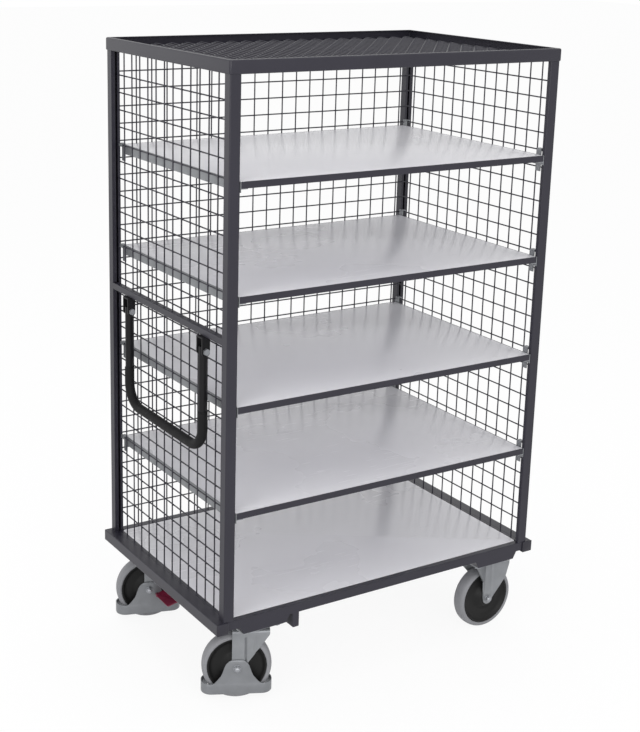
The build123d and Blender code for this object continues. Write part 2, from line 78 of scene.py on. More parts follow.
Colour = tuple[float, float, float, float]
Point = tuple[float, float]
Span = tuple[float, float]
Triple = Sequence[float]
Test = Callable[[Vector], bool]

# Coordinates closer than this, in metres, differ only by rounding
NEAR = 1e-5

# Vertices closer than this, in metres, are merged into one
SEAM = 1e-6


def near(one: float, other: float) -> bool:
    """Whether two coordinates are the same but for rounding."""
    return abs(one - other) < NEAR


def halfway(span: Span) -> float:
    """Middle of a span."""
    return (span[0] + span[1]) / 2


def length(span: Span) -> float:
    """Length of a span."""
    return span[1] - span[0]


def anywhere(place: Vector) -> bool:
    """Test that every place passes."""
    return True


# Shader maths
class Value:
    """A shader socket that takes part in Python arithmetic."""

    def __init__(self, recipe: Nodes, socket: NodeSocket) -> None:
        """Keeps the socket and the recipe that its node belongs to."""
        self.recipe = recipe
        self.socket = socket

    def _math(self, operation: str, first: Value | float, second: Value | float) -> Value:
        """Adds one Math node."""
        return self.recipe.node("ShaderNodeMath", {0: first, 1: second}, operation=operation)

    def __add__(self, other: Value | float) -> Value:
        """Sum."""
        return self._math("ADD", self, other)

    def __rsub__(self, other: float) -> Value:
        """Difference from a number on the left."""
        return self._math("SUBTRACT", other, self)

    def __mul__(self, other: Value | float) -> Value:
        """Product."""
        return self._math("MULTIPLY", self, other)

    __radd__ = __add__
    __rmul__ = __mul__

    def above(self, limit: Value | float) -> Value:
        """The larger of this and the limit."""
        return self._math("MAXIMUM", self, limit)

    def between(self, low: float, high: float) -> Value:
        """Smooth step from 0 at the low end to 1 at the high end."""
        inputs = {0: self, 1: low, 2: high}
        return self.recipe.node("ShaderNodeMapRange", inputs, interpolation_type="SMOOTHSTEP")


class Nodes:
    """Node tree that shader maths is added to."""

    def __init__(self, tree: NodeTree) -> None:
        """Keeps the tree."""
        self.tree = tree

    def node(self, kind: str, inputs: dict[int | str, Any], output: int | str = 0, **settings: Any) -> Value:
        """Adds a node, sets it up and fills or links its sockets.

        Args:
            kind: Blender's type name of the node.
            inputs: Numbers, colours or values by socket number or name.
            output: Socket of the node that is wanted.
            settings: Properties of the node, which are set first.

        Returns:
            The wanted output.
        """
        node = self.tree.nodes.new(kind)
        for name, setting in settings.items():
            setattr(node, name, setting)
        for key, given in inputs.items():
            self.feed(node.inputs[key], given)
        return Value(self, node.outputs[output])

    def feed(self, socket: NodeSocket, given: Any) -> None:
        """Links a value to a socket, or sets a number or colour on it."""
        if isinstance(given, Value):
            self.tree.links.new(given.socket, socket)
        else:
            socket.default_value = given

    def seen(self) -> Value:
        """1 for rays that show the surroundings, from the camera, a gloss or through glass."""
        outputs = ("Is Camera Ray", "Is Glossy Ray", "Is Transmission Ray")
        camera, gloss, through = (self.node("ShaderNodeLightPath", {}, name) for name in outputs)
        return camera.above(gloss).above(through)


class Recipe(Nodes):
    """Node tree of one finish."""

    def __init__(self, name: str) -> None:
        """Starts a material with a Principled shader."""
        self.material = bpy.data.materials.new(name)
        self.material.use_nodes = True
        super().__init__(self.material.node_tree)
        self.shader = self.tree.nodes["Principled BSDF"]
        self.place = self.node("ShaderNodeTexCoord", {}, "Object")

    def finish(self, **sockets: Any) -> Material:
        """Feeds the shader's sockets, named with underscores for spaces, and returns the material."""
        for name, given in sockets.items():
            self.feed(self.shader.inputs[name.replace("_", " ")], given)
        return self.material

    def noise(self, scale: float, detail: float = 2.0, stretch: Triple = (1.0, 1.0, 1.0)) -> Value:
        """Adds a noise on the object's own coordinates.

        Args:
            scale: Waves per metre, roughly.
            detail: Octaves of finer noise.
            stretch: Factor on each axis, above 1 for shorter waves.

        Returns:
            The noise, about 0.5 on average.
        """
        place = self.node("ShaderNodeMapping", {"Vector": self.place, "Scale": stretch})
        return self.node("ShaderNodeTexNoise", {"Vector": place, "Scale": scale, "Detail": detail})

    def layer(self, factor: Value, low: Colour | Value, high: Colour | Value) -> Value:
        """Lays one colour over another by a factor."""
        return self.node("ShaderNodeMix", {0: factor, 6: low, 7: high}, 2, data_type="RGBA")

    def vary(self, tone: Colour, factor: Value, dark: float, light: float) -> Value:
        """Spreads a tone by a factor, from a darker shade of it to a lighter one."""
        return self.layer(factor, shade(tone, dark), shade(tone, light))

    def upward(self) -> Value:
        """How far the surface faces up, from 0 on upright faces to 1 on level ones."""
        normal = self.node("ShaderNodeNewGeometry", {}, "Normal")
        return self.node("ShaderNodeSeparateXYZ", {0: normal}, 2).above(0.0)

    def bump(self, height: Value, depth: float, strength: float = 0.5) -> Value:
        """Turns a height field into a normal, with the depth in metres."""
        return self.node("ShaderNodeBump", {"Height": height, "Distance": depth, "Strength": strength})


def grey(level: float, warmth: float = 0.0) -> Colour:
    """Neutral linear colour, bluer for a negative warmth."""
    return (level * (1 + warmth), level, level * (1 - warmth), 1.0)


def shade(colour: Colour, factor: float) -> Colour:
    """The colour made lighter or darker by a factor."""
    red, green, blue, alpha = colour
    return (red * factor, green * factor, blue * factor, alpha)


# Finishes
@dataclass(frozen=True)
class PowderCoat:
    """Semi-gloss powder coat with orange peel, light flecks, and on level faces a trace of dust that also
    serves as painted light from above.
    """

    name: str
    tone: Colour = (0.0212, 0.0200, 0.0288, 1.0)
    roughness: float = 0.30
    peel_scale: float = 330.0
    peel_depth: float = 0.00012
    specular: float = 0.30

    def material(self) -> Material:
        """Makes the material."""
        recipe = Recipe(self.name)
        cloud = recipe.noise(5.0, 3.0)
        grain = recipe.noise(1900.0, 1.0)
        peel = recipe.noise(self.peel_scale)
        tone = recipe.vary(self.tone, cloud, 0.86, 1.14)
        fleck = recipe.layer(grain.between(0.62, 0.78) * 0.35, tone, shade(self.tone, 2.2))
        # Level faces lightened: partly real dust, partly painted light from above
        dust_and_top_light = recipe.upward() * recipe.noise(26.0, 4.0).between(0.42, 0.8) * 0.14
        colour = recipe.layer(dust_and_top_light, fleck, grey(0.13, -0.04))
        rough = self.roughness + 0.10 * cloud + 0.25 * dust_and_top_light
        return recipe.finish(
            Base_Color=colour, Roughness=rough, Specular_IOR_Level=self.specular,
            Normal=recipe.bump(peel, self.peel_depth),
        )


@dataclass(frozen=True)
class Laminate:
    """Light grey dissipative laminate with a pearled face, faint specks and fine scuffs."""

    name: str
    tone: Colour = (0.640, 0.636, 0.668, 1.0)

    def material(self) -> Material:
        """Makes the material."""
        recipe = Recipe(self.name)
        cloud = recipe.noise(2.2, 4.0)
        speck = recipe.noise(700.0).between(0.60, 0.72)
        scuff = recipe.noise(9.0, 6.0, (1.0, 14.0, 1.0)).between(0.64, 0.72)
        tone = recipe.vary(self.tone, cloud, 0.96, 1.04)
        specked = recipe.layer(speck * 0.20, tone, shade(self.tone, 0.72))
        colour = recipe.layer(scuff * 0.08, specked, shade(self.tone, 0.8))
        rough = 0.24 + 0.08 * cloud + 0.10 * scuff
        pearl = recipe.noise(950.0, 1.0)
        return recipe.finish(Base_Color=colour, Roughness=rough, Normal=recipe.bump(pearl, 0.00005))


@dataclass(frozen=True)
class ZincPlate:
    """Satin zinc plating with a soft cloudy bloom, faint stains and fine drawing marks."""

    name: str
    tone: Colour = (0.235, 0.243, 0.256, 1.0)
    roughness: float = 0.40
    metal: float = 0.55

    def material(self) -> Material:
        """Makes the material."""
        recipe = Recipe(self.name)
        bloom = recipe.noise(38.0, 4.0)
        marks = recipe.noise(420.0, 2.0, (1.0, 1.0, 0.06))
        tone = recipe.vary(self.tone, bloom, 0.86, 1.14)
        stain = recipe.noise(11.0, 5.0).between(0.56, 0.80)
        colour = recipe.layer(stain * 0.20, tone, shade(self.tone, 0.6))
        rough = self.roughness - 0.08 + 0.14 * bloom + 0.08 * marks
        return recipe.finish(
            Base_Color=colour, Roughness=rough, Metallic=self.metal, Normal=recipe.bump(marks, 0.00006, 0.35)
        )


@dataclass(frozen=True)
class TyreRubber:
    """Grey non-marking rubber with fine pores and a little dirt."""

    name: str
    tone: Colour = (0.202, 0.204, 0.217, 1.0)

    def material(self) -> Material:
        """Makes the material."""
        recipe = Recipe(self.name)
        cloud = recipe.noise(30.0, 4.0)
        pores = recipe.noise(1300.0)
        tone = recipe.vary(self.tone, cloud, 0.86, 1.12)
        dirt = recipe.noise(75.0, 5.0).between(0.60, 0.78)
        colour = recipe.layer(dirt * 0.25, tone, shade(self.tone, 0.55))
        rough = 0.50 + 0.16 * cloud
        return recipe.finish(Base_Color=colour, Roughness=rough, Normal=recipe.bump(pores, 0.00008))


@dataclass(frozen=True)
class MouldedPlastic:
    """Moulded plastic with a fine eroded grain and rubbed places."""

    name: str
    tone: Colour
    roughness: float = 0.42
    specular: float = 0.5
    grain_depth: float = 0.00006

    def material(self) -> Material:
        """Makes the material."""
        recipe = Recipe(self.name)
        cloud = recipe.noise(24.0, 3.0)
        grain = recipe.noise(1500.0)
        rub = recipe.noise(60.0, 6.0, (1.0, 1.0, 5.0)).between(0.62, 0.80)
        rough = self.roughness + 0.10 * cloud + 0.12 * rub
        colour = recipe.vary(self.tone, cloud + rub * 0.4, 0.75, 1.25)
        return recipe.finish(
            Base_Color=colour, Roughness=rough, Specular_IOR_Level=self.specular,
            Normal=recipe.bump(grain, self.grain_depth),
        )


@dataclass(frozen=True)
class SleeveRubber:
    """Black closed-cell grip sleeve with a pebbled skin."""

    name: str
    tone: Colour = (0.0060, 0.0060, 0.0065, 1.0)
    specular: float = 0.18

    def material(self) -> Material:
        """Makes the material."""
        recipe = Recipe(self.name)
        cells = recipe.node("ShaderNodeTexVoronoi", {"Vector": recipe.place, "Scale": 620.0}, "Distance")
        cloud = recipe.noise(18.0, 4.0)
        shine = recipe.noise(45.0, 5.0).between(0.50, 0.80)
        colour = recipe.vary(self.tone, cloud, 0.8, 1.3)
        rough = 0.66 - 0.20 * shine
        return recipe.finish(
            Base_Color=colour, Roughness=rough, Specular_IOR_Level=self.specular,
            Normal=recipe.bump(cells, 0.0002),
        )


Finish = PowderCoat | Laminate | ZincPlate | TyreRubber | MouldedPlastic | SleeveRubber

FINISHES: dict[str, Finish] = {
    "frame_paint": PowderCoat("frame_powder_coat"),
    "mesh_paint": PowderCoat("wire_powder_coat", peel_scale=520.0, peel_depth=0.00008),
    "board": Laminate("board_laminate"),
    "zinc": ZincPlate("satin_zinc"),
    "tyre": TyreRubber("grey_tyre_rubber"),
    "rim": MouldedPlastic("black_rim_plastic", (0.0060, 0.0060, 0.0060, 1.0), 0.50, 0.25),
    "grip": SleeveRubber("black_grip_sleeve"),
    "cap": MouldedPlastic("dark_cap_plastic", (0.0212, 0.0200, 0.0278, 1.0), 0.34, 0.30),
    "pedal": MouldedPlastic("dark_red_pedal_plastic", (0.165, 0.0060, 0.031, 1.0), 0.34),
    "handle_paint": PowderCoat("black_handle_paint", (0.0050, 0.0048, 0.0058, 1.0), 0.40, specular=0.20),
    "bright_zinc": ZincPlate("bright_bolt_zinc", (0.32, 0.33, 0.35, 1.0), 0.38, 0.8),
    # Same zinc as the forks, darkened as painted shade for the shadowed floor near the wheels
    "shaded_guard_zinc": ZincPlate("satin_guard_zinc_painted_shade", (0.196, 0.203, 0.215, 1.0)),
}

# Nodes whose finish is a variant of the one that their slot names
OWN_FINISH: dict[str, str] = {
    "handle_bar": "handle_paint",
    "handle_brackets": "handle_paint",
    "handle_bolts": "bright_zinc",
    "caster_bolts": "bright_zinc",
}


class Paints:
    """Materials of all finishes."""

    def __init__(self) -> None:
        """Makes every material once."""
        self.by_finish = {word: finish.material() for word, finish in FINISHES.items()}

    def dress(self, obj: Object, finish: str) -> None:
        """Gives an object one material."""
        obj.data.materials.clear()
        obj.data.materials.append(self.by_finish[finish])

    def dress_nodes(self, frame: dict[str, Any]) -> None:
        """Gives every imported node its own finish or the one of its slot."""
        for part in frame["record"]["subparts"]:
            self.dress(frame["nodes"][part["node"]], OWN_FINISH.get(part["node"], part["material_slot"]))


# Modelling by hand
class Pick(Enum):
    """What a selection in edit mode consists of."""

    VERTEX = (True, False, False)
    EDGE = (False, True, False)
    FACE = (False, False, True)


class Falloff(Enum):
    """How a pressed dent fades out round the picked vertices."""

    SOFT = "SMOOTH"
    STRAIGHT = "LINEAR"


def select_only(*objects: Object) -> None:
    """Leaves edit mode, selects only these objects and makes the first one active."""
    if bpy.context.mode != "OBJECT":
        bpy.ops.object.mode_set(mode="OBJECT")
    bpy.ops.object.select_all(action="DESELECT")
    for obj in objects:
        obj.select_set(True)
    if objects:
        bpy.context.view_layer.objects.active = objects[0]


class Piece:
    """A mesh in the making. Each method works as one step by hand and hands the piece on."""

    def __init__(self, name: str) -> None:
        """Takes over the primitive that was just added, with its place in its mesh."""
        self.obj = bpy.context.object
        self.obj.name = name
        self.obj.data.name = name
        bpy.ops.object.transform_apply(location=True, rotation=True, scale=True)

    @classmethod
    def block(cls, name: str, x: Span, y: Span, z: Span) -> Piece:
        """Starts from a cube stretched between two coordinates on each axis."""
        select_only()
        bpy.ops.mesh.primitive_cube_add(size=1.0, location=[halfway(span) for span in (x, y, z)])
        bpy.context.object.scale = [length(span) for span in (x, y, z)]
        return cls(name)

    @classmethod
    def sheet(cls, name: str, size: Span, middle: Triple, cells: tuple[int, int], tip: float = 0.0) -> Piece:
        """Starts from a grid.

        Args:
            name: Name of the piece.
            size: Length and width.
            middle: Place of its middle.
            cells: Faces along its length and its width.
            tip: Turn about X in degrees, 90 for a sheet that stands and faces -Y.

        Returns:
            The sheet with no thickness yet.
        """
        select_only()
        bpy.ops.mesh.primitive_grid_add(
            x_subdivisions=cells[0], y_subdivisions=cells[1], size=1.0,
            location=middle, rotation=(math.radians(tip), 0.0, 0.0),
        )
        bpy.context.object.scale = (*size, 1.0)
        return cls(name)

    @classmethod
    def prism(cls, name: str, sides: int, radius: float, z: Span) -> Piece:
        """Starts from a prism about Z, such as a hexagon head."""
        select_only()
        bpy.ops.mesh.primitive_cylinder_add(
            vertices=sides, radius=radius, depth=length(z), location=(0.0, 0.0, halfway(z))
        )
        return cls(name)

    @classmethod
    def bead(cls, name: str, size: Triple, place: Triple) -> Piece:
        """Starts from a coarse ball stretched to a size."""
        select_only()
        bpy.ops.mesh.primitive_uv_sphere_add(segments=8, ring_count=5, radius=0.5, location=place)
        bpy.context.object.scale = size
        return cls(name)

    @classmethod
    def turned(cls, name: str, profile: Sequence[Point], sides: int) -> Piece:
        """Turns a closed profile about Z, ring after ring.

        Args:
            name: Name of the piece.
            profile: Radius and height of each ring. The last one closes onto the first.
            sides: Faces round the axis.

        Returns:
            The turned piece.
        """
        select_only()
        radius, height = profile[0]
        bpy.ops.mesh.primitive_circle_add(vertices=sides, radius=radius, location=(0.0, 0.0, height))
        piece = cls(name).pick(Pick.EDGE, anywhere)
        for next_radius, next_height in (*profile[1:], profile[0]):
            ratio = next_radius / radius
            piece.extend((0.0, 0.0, next_height - height), (ratio, ratio, 1.0))
            radius, height = next_radius, next_height
        return piece.merge()

    def _edit(self, on: bool) -> None:
        """Goes into edit mode or out of it, with this piece active."""
        bpy.context.view_layer.objects.active = self.obj
        bpy.ops.object.mode_set(mode="EDIT" if on else "OBJECT")

    def pick(self, kind: Pick, test: Test) -> Piece:
        """Selects what passes a test on its middle, and goes into edit mode.

        Args:
            kind: Vertices, edges or faces.
            test: Tells by a place whether it is wanted.

        Returns:
            This piece.
        """
        self._edit(True)
        bpy.ops.mesh.select_all(action="DESELECT")
        bpy.context.tool_settings.mesh_select_mode = kind.value
        self._edit(False)
        mesh = self.obj.data
        points = [vertex.co for vertex in mesh.vertices]
        if kind is Pick.VERTEX:
            for vertex in mesh.vertices:
                vertex.select = test(vertex.co)
        elif kind is Pick.EDGE:
            for edge in mesh.edges:
                edge.select = test((points[edge.vertices[0]] + points[edge.vertices[1]]) / 2)
        else:
            for face in mesh.polygons:
                face.select = test(face.center)
        self._edit(True)
        return self

    def extend(self, move: Triple, stretch: Triple = (1.0, 1.0, 1.0)) -> Piece:
        """Extrudes the picked edges, moves the new ones and stretches them about the origin."""
        bpy.ops.mesh.extrude_edges_move(TRANSFORM_OT_translate={"value": move})
        bpy.ops.transform.resize(value=stretch, center_override=(0.0, 0.0, 0.0))
        return self

    def fold(self, angle: float, centre: Triple, steps: int) -> Piece:
        """Bends a flange from the picked edges round an axis along X, by an angle in degrees."""
        bpy.ops.mesh.spin(steps=steps, angle=math.radians(angle), center=centre, axis=(1.0, 0.0, 0.0))
        return self

    def press(self, test: Test, move: Triple, reach: float = 0.0, falloff: Falloff = Falloff.SOFT) -> Piece:
        """Pushes the vertices that pass a test, and drags those within reach along.

        Args:
            test: Tells by a place whether a vertex is pushed all the way.
            move: The push.
            reach: Distance at which nothing moves any more.
            falloff: How the push fades.

        Returns:
            This piece.
        """
        self.pick(Pick.VERTEX, test)
        bpy.ops.transform.translate(
            value=move, use_proportional_edit=reach > 0.0, proportional_edit_falloff=falloff.value,
            proportional_size=max(reach, NEAR),
        )
        return self

    def trim(self, point: Triple, outward: Triple, within: Test = anywhere) -> Piece:
        """Cuts away what lies beyond a plane, of the faces that pass a test."""
        self.pick(Pick.FACE, within)
        bpy.ops.mesh.bisect(plane_co=point, plane_no=Vector(outward).normalized(), clear_outer=True)
        return self

    def trim_outline(self, corners: Sequence[Point], y: float, within: Test = anywhere) -> Piece:
        """Cuts an upright sheet along the edges of an outline.

        Args:
            corners: X and Z of the corners, clockwise seen from -Y, round a form with no hollows.
            y: Where the sheet stands.
            within: Tells by the middle of a face whether it is cut.

        Returns:
            This piece.
        """
        for (x, z), (next_x, next_z) in zip(corners, corners[1:]):
            self.trim((x, y, z), (z - next_z, 0.0, next_x - x), within)
        return self

    def drop_faces(self, test: Test) -> Piece:
        """Deletes the faces that pass a test."""
        self.pick(Pick.FACE, test)
        bpy.ops.mesh.delete(type="FACE")
        return self

    def sink_face(self, test: Test, border: float, depth: float) -> Piece:
        """Leaves a border round the face that passes a test and sinks the rest along Z."""
        self.pick(Pick.FACE, test)
        bpy.ops.mesh.inset(thickness=border, depth=0.0)
        bpy.ops.transform.translate(value=(0.0, 0.0, -depth))
        return self

    def round_picked(self, radius: float, segments: int) -> Piece:
        """Rounds the picked edges."""
        bpy.ops.mesh.bevel(offset=radius, segments=segments, affect="EDGES")
        return self

    def merge(self) -> Piece:
        """Closes seams and points the faces outwards."""
        self.pick(Pick.VERTEX, anywhere)
        bpy.ops.mesh.remove_doubles(threshold=SEAM)
        bpy.ops.mesh.normals_make_consistent(inside=False)
        self._edit(False)
        return self

    def modify(self, kind: str, **settings: Any) -> Piece:
        """Adds a modifier with its settings and applies it."""
        select_only(self.obj)
        modifier = self.obj.modifiers.new(kind.title(), kind)
        for name, setting in settings.items():
            setattr(modifier, name, setting)
        bpy.ops.object.modifier_apply(modifier=modifier.name)
        return self

    def thicken(self, sheet: float) -> Piece:
        """Gives a sheet its thickness, half to each side."""
        return self.modify("SOLIDIFY", thickness=sheet, offset=0.0, use_even_offset=True)

    def soften(self, radius: float, segments: int = 2, angle: float = 40.0) -> Piece:
        """Rounds every edge that is sharper than an angle in degrees."""
        return self.modify(
            "BEVEL", width=radius, segments=segments, limit_method="ANGLE", angle_limit=math.radians(angle)
        )

    def as_sheet_metal(self, sheet: float, edge: float) -> Piece:
        """Closes the seams of a thin form, gives it its thickness and rounds its cut edges."""
        return self.merge().thicken(sheet).soften(edge, angle=50.0).smooth()

    def repeat(self, count: int, step: Triple) -> Piece:
        """Copies the mesh in a row."""
        return self.modify(
            "ARRAY", count=count, use_relative_offset=False, use_constant_offset=True,
            constant_offset_displace=step,
        )

    def mirror_y(self) -> Piece:
        """Adds the other half across the XZ plane."""
        return self.modify("MIRROR", use_axis=(False, True, False), merge_threshold=NEAR)

    def place(self, matrix: Matrix) -> Piece:
        """Moves the mesh to its place and leaves the object at the origin."""
        select_only(self.obj)
        self.obj.matrix_world = matrix @ self.obj.matrix_world
        bpy.ops.object.transform_apply(location=True, rotation=True, scale=True)
        return self

    def copy(self, name: str) -> Piece:
        """Makes a second piece with a mesh of its own."""
        select_only(self.obj)
        bpy.ops.object.duplicate(linked=False)
        return Piece(name)

    def join(self, *others: Piece) -> Piece:
        """Takes other pieces into this one."""
        select_only(self.obj, *(other.obj for other in others))
        bpy.ops.object.join()
        return self

    def smooth(self, angle: float = 40.0) -> Piece:
        """Shades smooth except across sharper edges."""
        select_only(self.obj)
        bpy.ops.object.shade_smooth_by_angle(angle=math.radians(angle))
        return self

    def hand_over(
        self, paints: Paints, slot: str, body: str, *nodes: str, name: str = "", finish: str = ""
    ) -> None:
        """Dresses the finished piece and sets it on its body.

        Args:
            paints: The materials.
            slot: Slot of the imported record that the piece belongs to.
            body: Body that the piece moves with.
            nodes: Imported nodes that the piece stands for.
            name: Name to be given now, where it has none of its own yet.
            finish: Finish of its own, where it differs from its slot's.
        """
        self.obj.name = name or self.obj.name
        paints.dress(self.obj, finish or slot)
        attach(self.obj, body)
        if nodes:
            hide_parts(*nodes)
        LOG.info("%s: %d faces on %s", self.obj.name, len(self.obj.data.polygons), body)


def arc(radius: float, start: float, end: float, steps: int) -> list[Point]:
    """Points on an arc about the origin, from one angle to another in degrees."""
    angles = [math.radians(start + (end - start) * step / steps) for step in range(steps + 1)]
    return [(radius * math.cos(angle), radius * math.sin(angle)) for angle in angles]


def both_faces(face: Sequence[Point]) -> list[Point]:
    """Closed profile of a turned piece from its upper face, with the same face below."""
    return [*((radius, -height) for radius, height in reversed(face)), *face]


class Joints:
    """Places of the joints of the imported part."""

    def __init__(self, frame: dict[str, Any]) -> None:
        """Keeps the joints by name."""
        self.by_name = {joint["name"]: joint for joint in frame["joints"]}

    def frame_of(self, name: str) -> Matrix:
        """Matrix that takes a piece modelled about its axle, which runs along Y, to a joint."""
        joint = self.by_name[name]
        along = Vector(joint["axis"])
        up = Vector((0.0, 0.0, 1.0))
        turn = Matrix((along.cross(up), along, up)).transposed().to_4x4()
        return Matrix.Translation(joint["pos_m"]) @ turn


# Lays a piece that was turned about Z along the axle
AXLE_FROM_Z = Matrix.Rotation(math.radians(90.0), 4, "X")


# Casters
@dataclass
class Wheel:
    """Dished black rim with a conical hub and a crowned grey tyre."""

    radius: float = 0.100
    tyre_half: float = 0.022
    seat: float = 0.085
    dish_half: float = 0.0105
    cone_foot: float = 0.040
    hub_radius: float = 0.024
    hub_half: float = 0.025
    bore: float = 0.0102
    sides: int = 96

    def tyre(self) -> Piece:
        """Turns the tyre: side bands, round shoulders and a slightly crowned tread."""
        r, half = self.radius, self.tyre_half
        face = [
            (r - 0.0001, half - 0.0175), (r - 0.0007, half - 0.0120), (r - 0.0020, half - 0.0072),
            (r - 0.0045, half - 0.0032), (r - 0.0080, half - 0.0008), (self.seat + 0.0045, half),
            (self.seat + 0.0012, half - 0.0006), (self.seat, half - 0.0022),
        ]
        return Piece.turned("tyre", both_faces(face), self.sides).smooth(50.0)

    def rim(self) -> Piece:
        """Turns the rim: rolled lip, dish, cone and hub, bored for its sleeve."""
        seat, half, dish = self.seat, self.tyre_half, self.dish_half
        cone, hub, end = self.cone_foot, self.hub_radius, self.hub_half
        face = [
            (seat, half - 0.0040), (seat - 0.0010, half - 0.0018), (seat - 0.0035, half - 0.0016),
            (seat - 0.0060, half - 0.0040), (seat - 0.0090, dish + 0.0035), (seat - 0.0130, dish + 0.0008),
            (seat - 0.0180, dish), (cone + 0.0080, dish), (cone + 0.0030, dish + 0.0008),
            (cone, dish + 0.0030), (hub + 0.0050, end - 0.0050), (hub + 0.0015, end - 0.0008),
            (hub - 0.0010, end), (self.bore, end),
        ]
        return Piece.turned("rim", both_faces(face), self.sides).smooth(50.0)

    def build(self, paints: Paints, word: str, place: Matrix) -> None:
        """Makes the two pieces of one wheel.

        Args:
            paints: The materials.
            word: Caster that the wheel belongs to, such as front_swivel.
            place: Frame of the axle.
        """
        body = f"{word}_wheel"
        for part, piece in (("tyre", self.tyre()), ("rim", self.rim())):
            node = f"{word}_{part}"
            piece.place(place @ AXLE_FROM_Z).hand_over(paints, part, body, node, name=f"{node}_turned")


@dataclass
class AxleBolt:
    """Axle bolt with washers and domed hexagons on two cheeks, and the sleeve inside the hub."""

    seat: float
    shank: float = 0.006
    flats: float = 0.0190
    head: float = 0.0052
    dome: float = 0.0052
    washer_radius: float = 0.0118
    washer: float = 0.0020
    sleeve: float = 0.0100
    sleeve_half: float = 0.026
    dome_hole: float = 0.0006
    core_hole: float = 0.0005
    sides: int = 40

    def end(self) -> Piece:
        """Models the washer, hexagon and dome that stand on one cheek, along +Z."""
        rim = self.washer_radius
        low, high = self.seat, self.seat + self.washer
        washer = Piece.turned("axle_end", [
            (self.shank, low), (rim - 0.0004, low), (rim, low + 0.0004), (rim, high - 0.0005),
            (rim - 0.0006, high), (self.shank, high),
        ], self.sides)
        top = high + self.head
        corner = self.flats / 2 / math.cos(math.pi / 6)
        hexagon = Piece.prism("axle_hexagon", 6, corner, (high, top)).soften(0.0011, 3)
        crown = self.flats / 2 - 0.0008
        dome = Piece.turned("axle_dome", [
            (self.dome_hole, top - 0.001), (crown, top - 0.001), (crown, top),
            (0.86 * crown, top + 0.50 * self.dome), (0.60 * crown, top + 0.82 * self.dome),
            (0.30 * crown, top + 0.97 * self.dome), (self.dome_hole, top + self.dome),
        ], self.sides)
        return washer.join(hexagon, dome)

    def model(self) -> Piece:
        """Models the whole bolt along Z with both ends and the sleeve."""
        end = self.end()
        far = end.copy("axle_far_end").place(Matrix.Rotation(math.pi, 4, "X"))
        core = Piece.turned("axle_core", both_faces([
            (self.sleeve, self.sleeve_half), (self.shank, self.sleeve_half),
            (self.shank, self.seat), (self.core_hole, self.seat),
        ]), self.sides)
        return end.join(far, core).smooth(30.0)


@dataclass(frozen=True)
class Groove:
    """One upright groove pressed into a fork leg."""

    x: float
    half: float
    low: float
    high: float
    depth: float
    reach: float


@dataclass
class PressedFork:
    """Sheet steel fork: two fluted legs cut to an outline about the axle."""

    half_width: float = 0.030
    sheet: float = 0.004
    edge: float = 0.0007
    cells: tuple[int, int] = (72, 44)

    @property
    def middle(self) -> float:
        """Where the middle of the near leg's sheet stands across the axle."""
        return self.sheet / 2 - self.half_width

    def leg(self, name: str, x: Span, z: Span) -> Piece:
        """Starts the near leg as a flat sheet."""
        middle = (halfway(x), self.middle, halfway(z))
        return Piece.sheet(name, (length(x), length(z)), middle, self.cells, 90.0)

    def groove(self, leg: Piece, groove: Groove) -> None:
        """Presses one groove into the near leg."""
        leg.press(
            lambda place: abs(place.x - groove.x) < groove.half and groove.low < place.z < groove.high,
            (0.0, groove.depth, 0.0), groove.reach,
        )

    def finish(self, leg: Piece) -> Piece:
        """Adds the far leg and gives the sheet its thickness."""
        return leg.mirror_y().as_sheet_metal(self.sheet, self.edge)


@dataclass
class SwivelFork(PressedFork):
    """Fork of a swivel caster: an upright heel, a slanting toe and a crown under the swivel head."""

    eye: float = 0.0175
    heel: float = -0.015
    toe: float = 0.0948
    top: float = 0.1166
    bend: float = 0.009
    bend_steps: int = 6

    def model(self) -> Piece:
        """Models the fork about the axle."""
        shoulder = self.top - self.sheet / 2 - self.bend
        leg = self.leg("fork", (self.heel, self.toe), (-self.eye, shoulder))
        end = shoulder - 0.012
        self.groove(leg, Groove(x=0.0245, half=0.0016, low=-0.030, high=end, depth=0.0042, reach=0.0048))
        self.groove(leg, Groove(x=0.0520, half=0.0016, low=0.020, high=end, depth=0.0020, reach=0.0070))
        leg.trim_outline([
            (self.toe, self.top), (0.95 * self.toe, 0.85 * self.top), (0.80 * self.toe, 0.68 * self.top),
            *arc(self.eye, -34.0, -149.0, 8), (self.heel, self.top),
        ], self.middle)
        leg.pick(Pick.EDGE, lambda place: near(place.z, shoulder))
        leg.fold(90.0, (0.0, self.middle + self.bend, shoulder), self.bend_steps)
        leg.extend((0.0, -self.middle - self.bend, 0.0))
        return self.finish(leg)


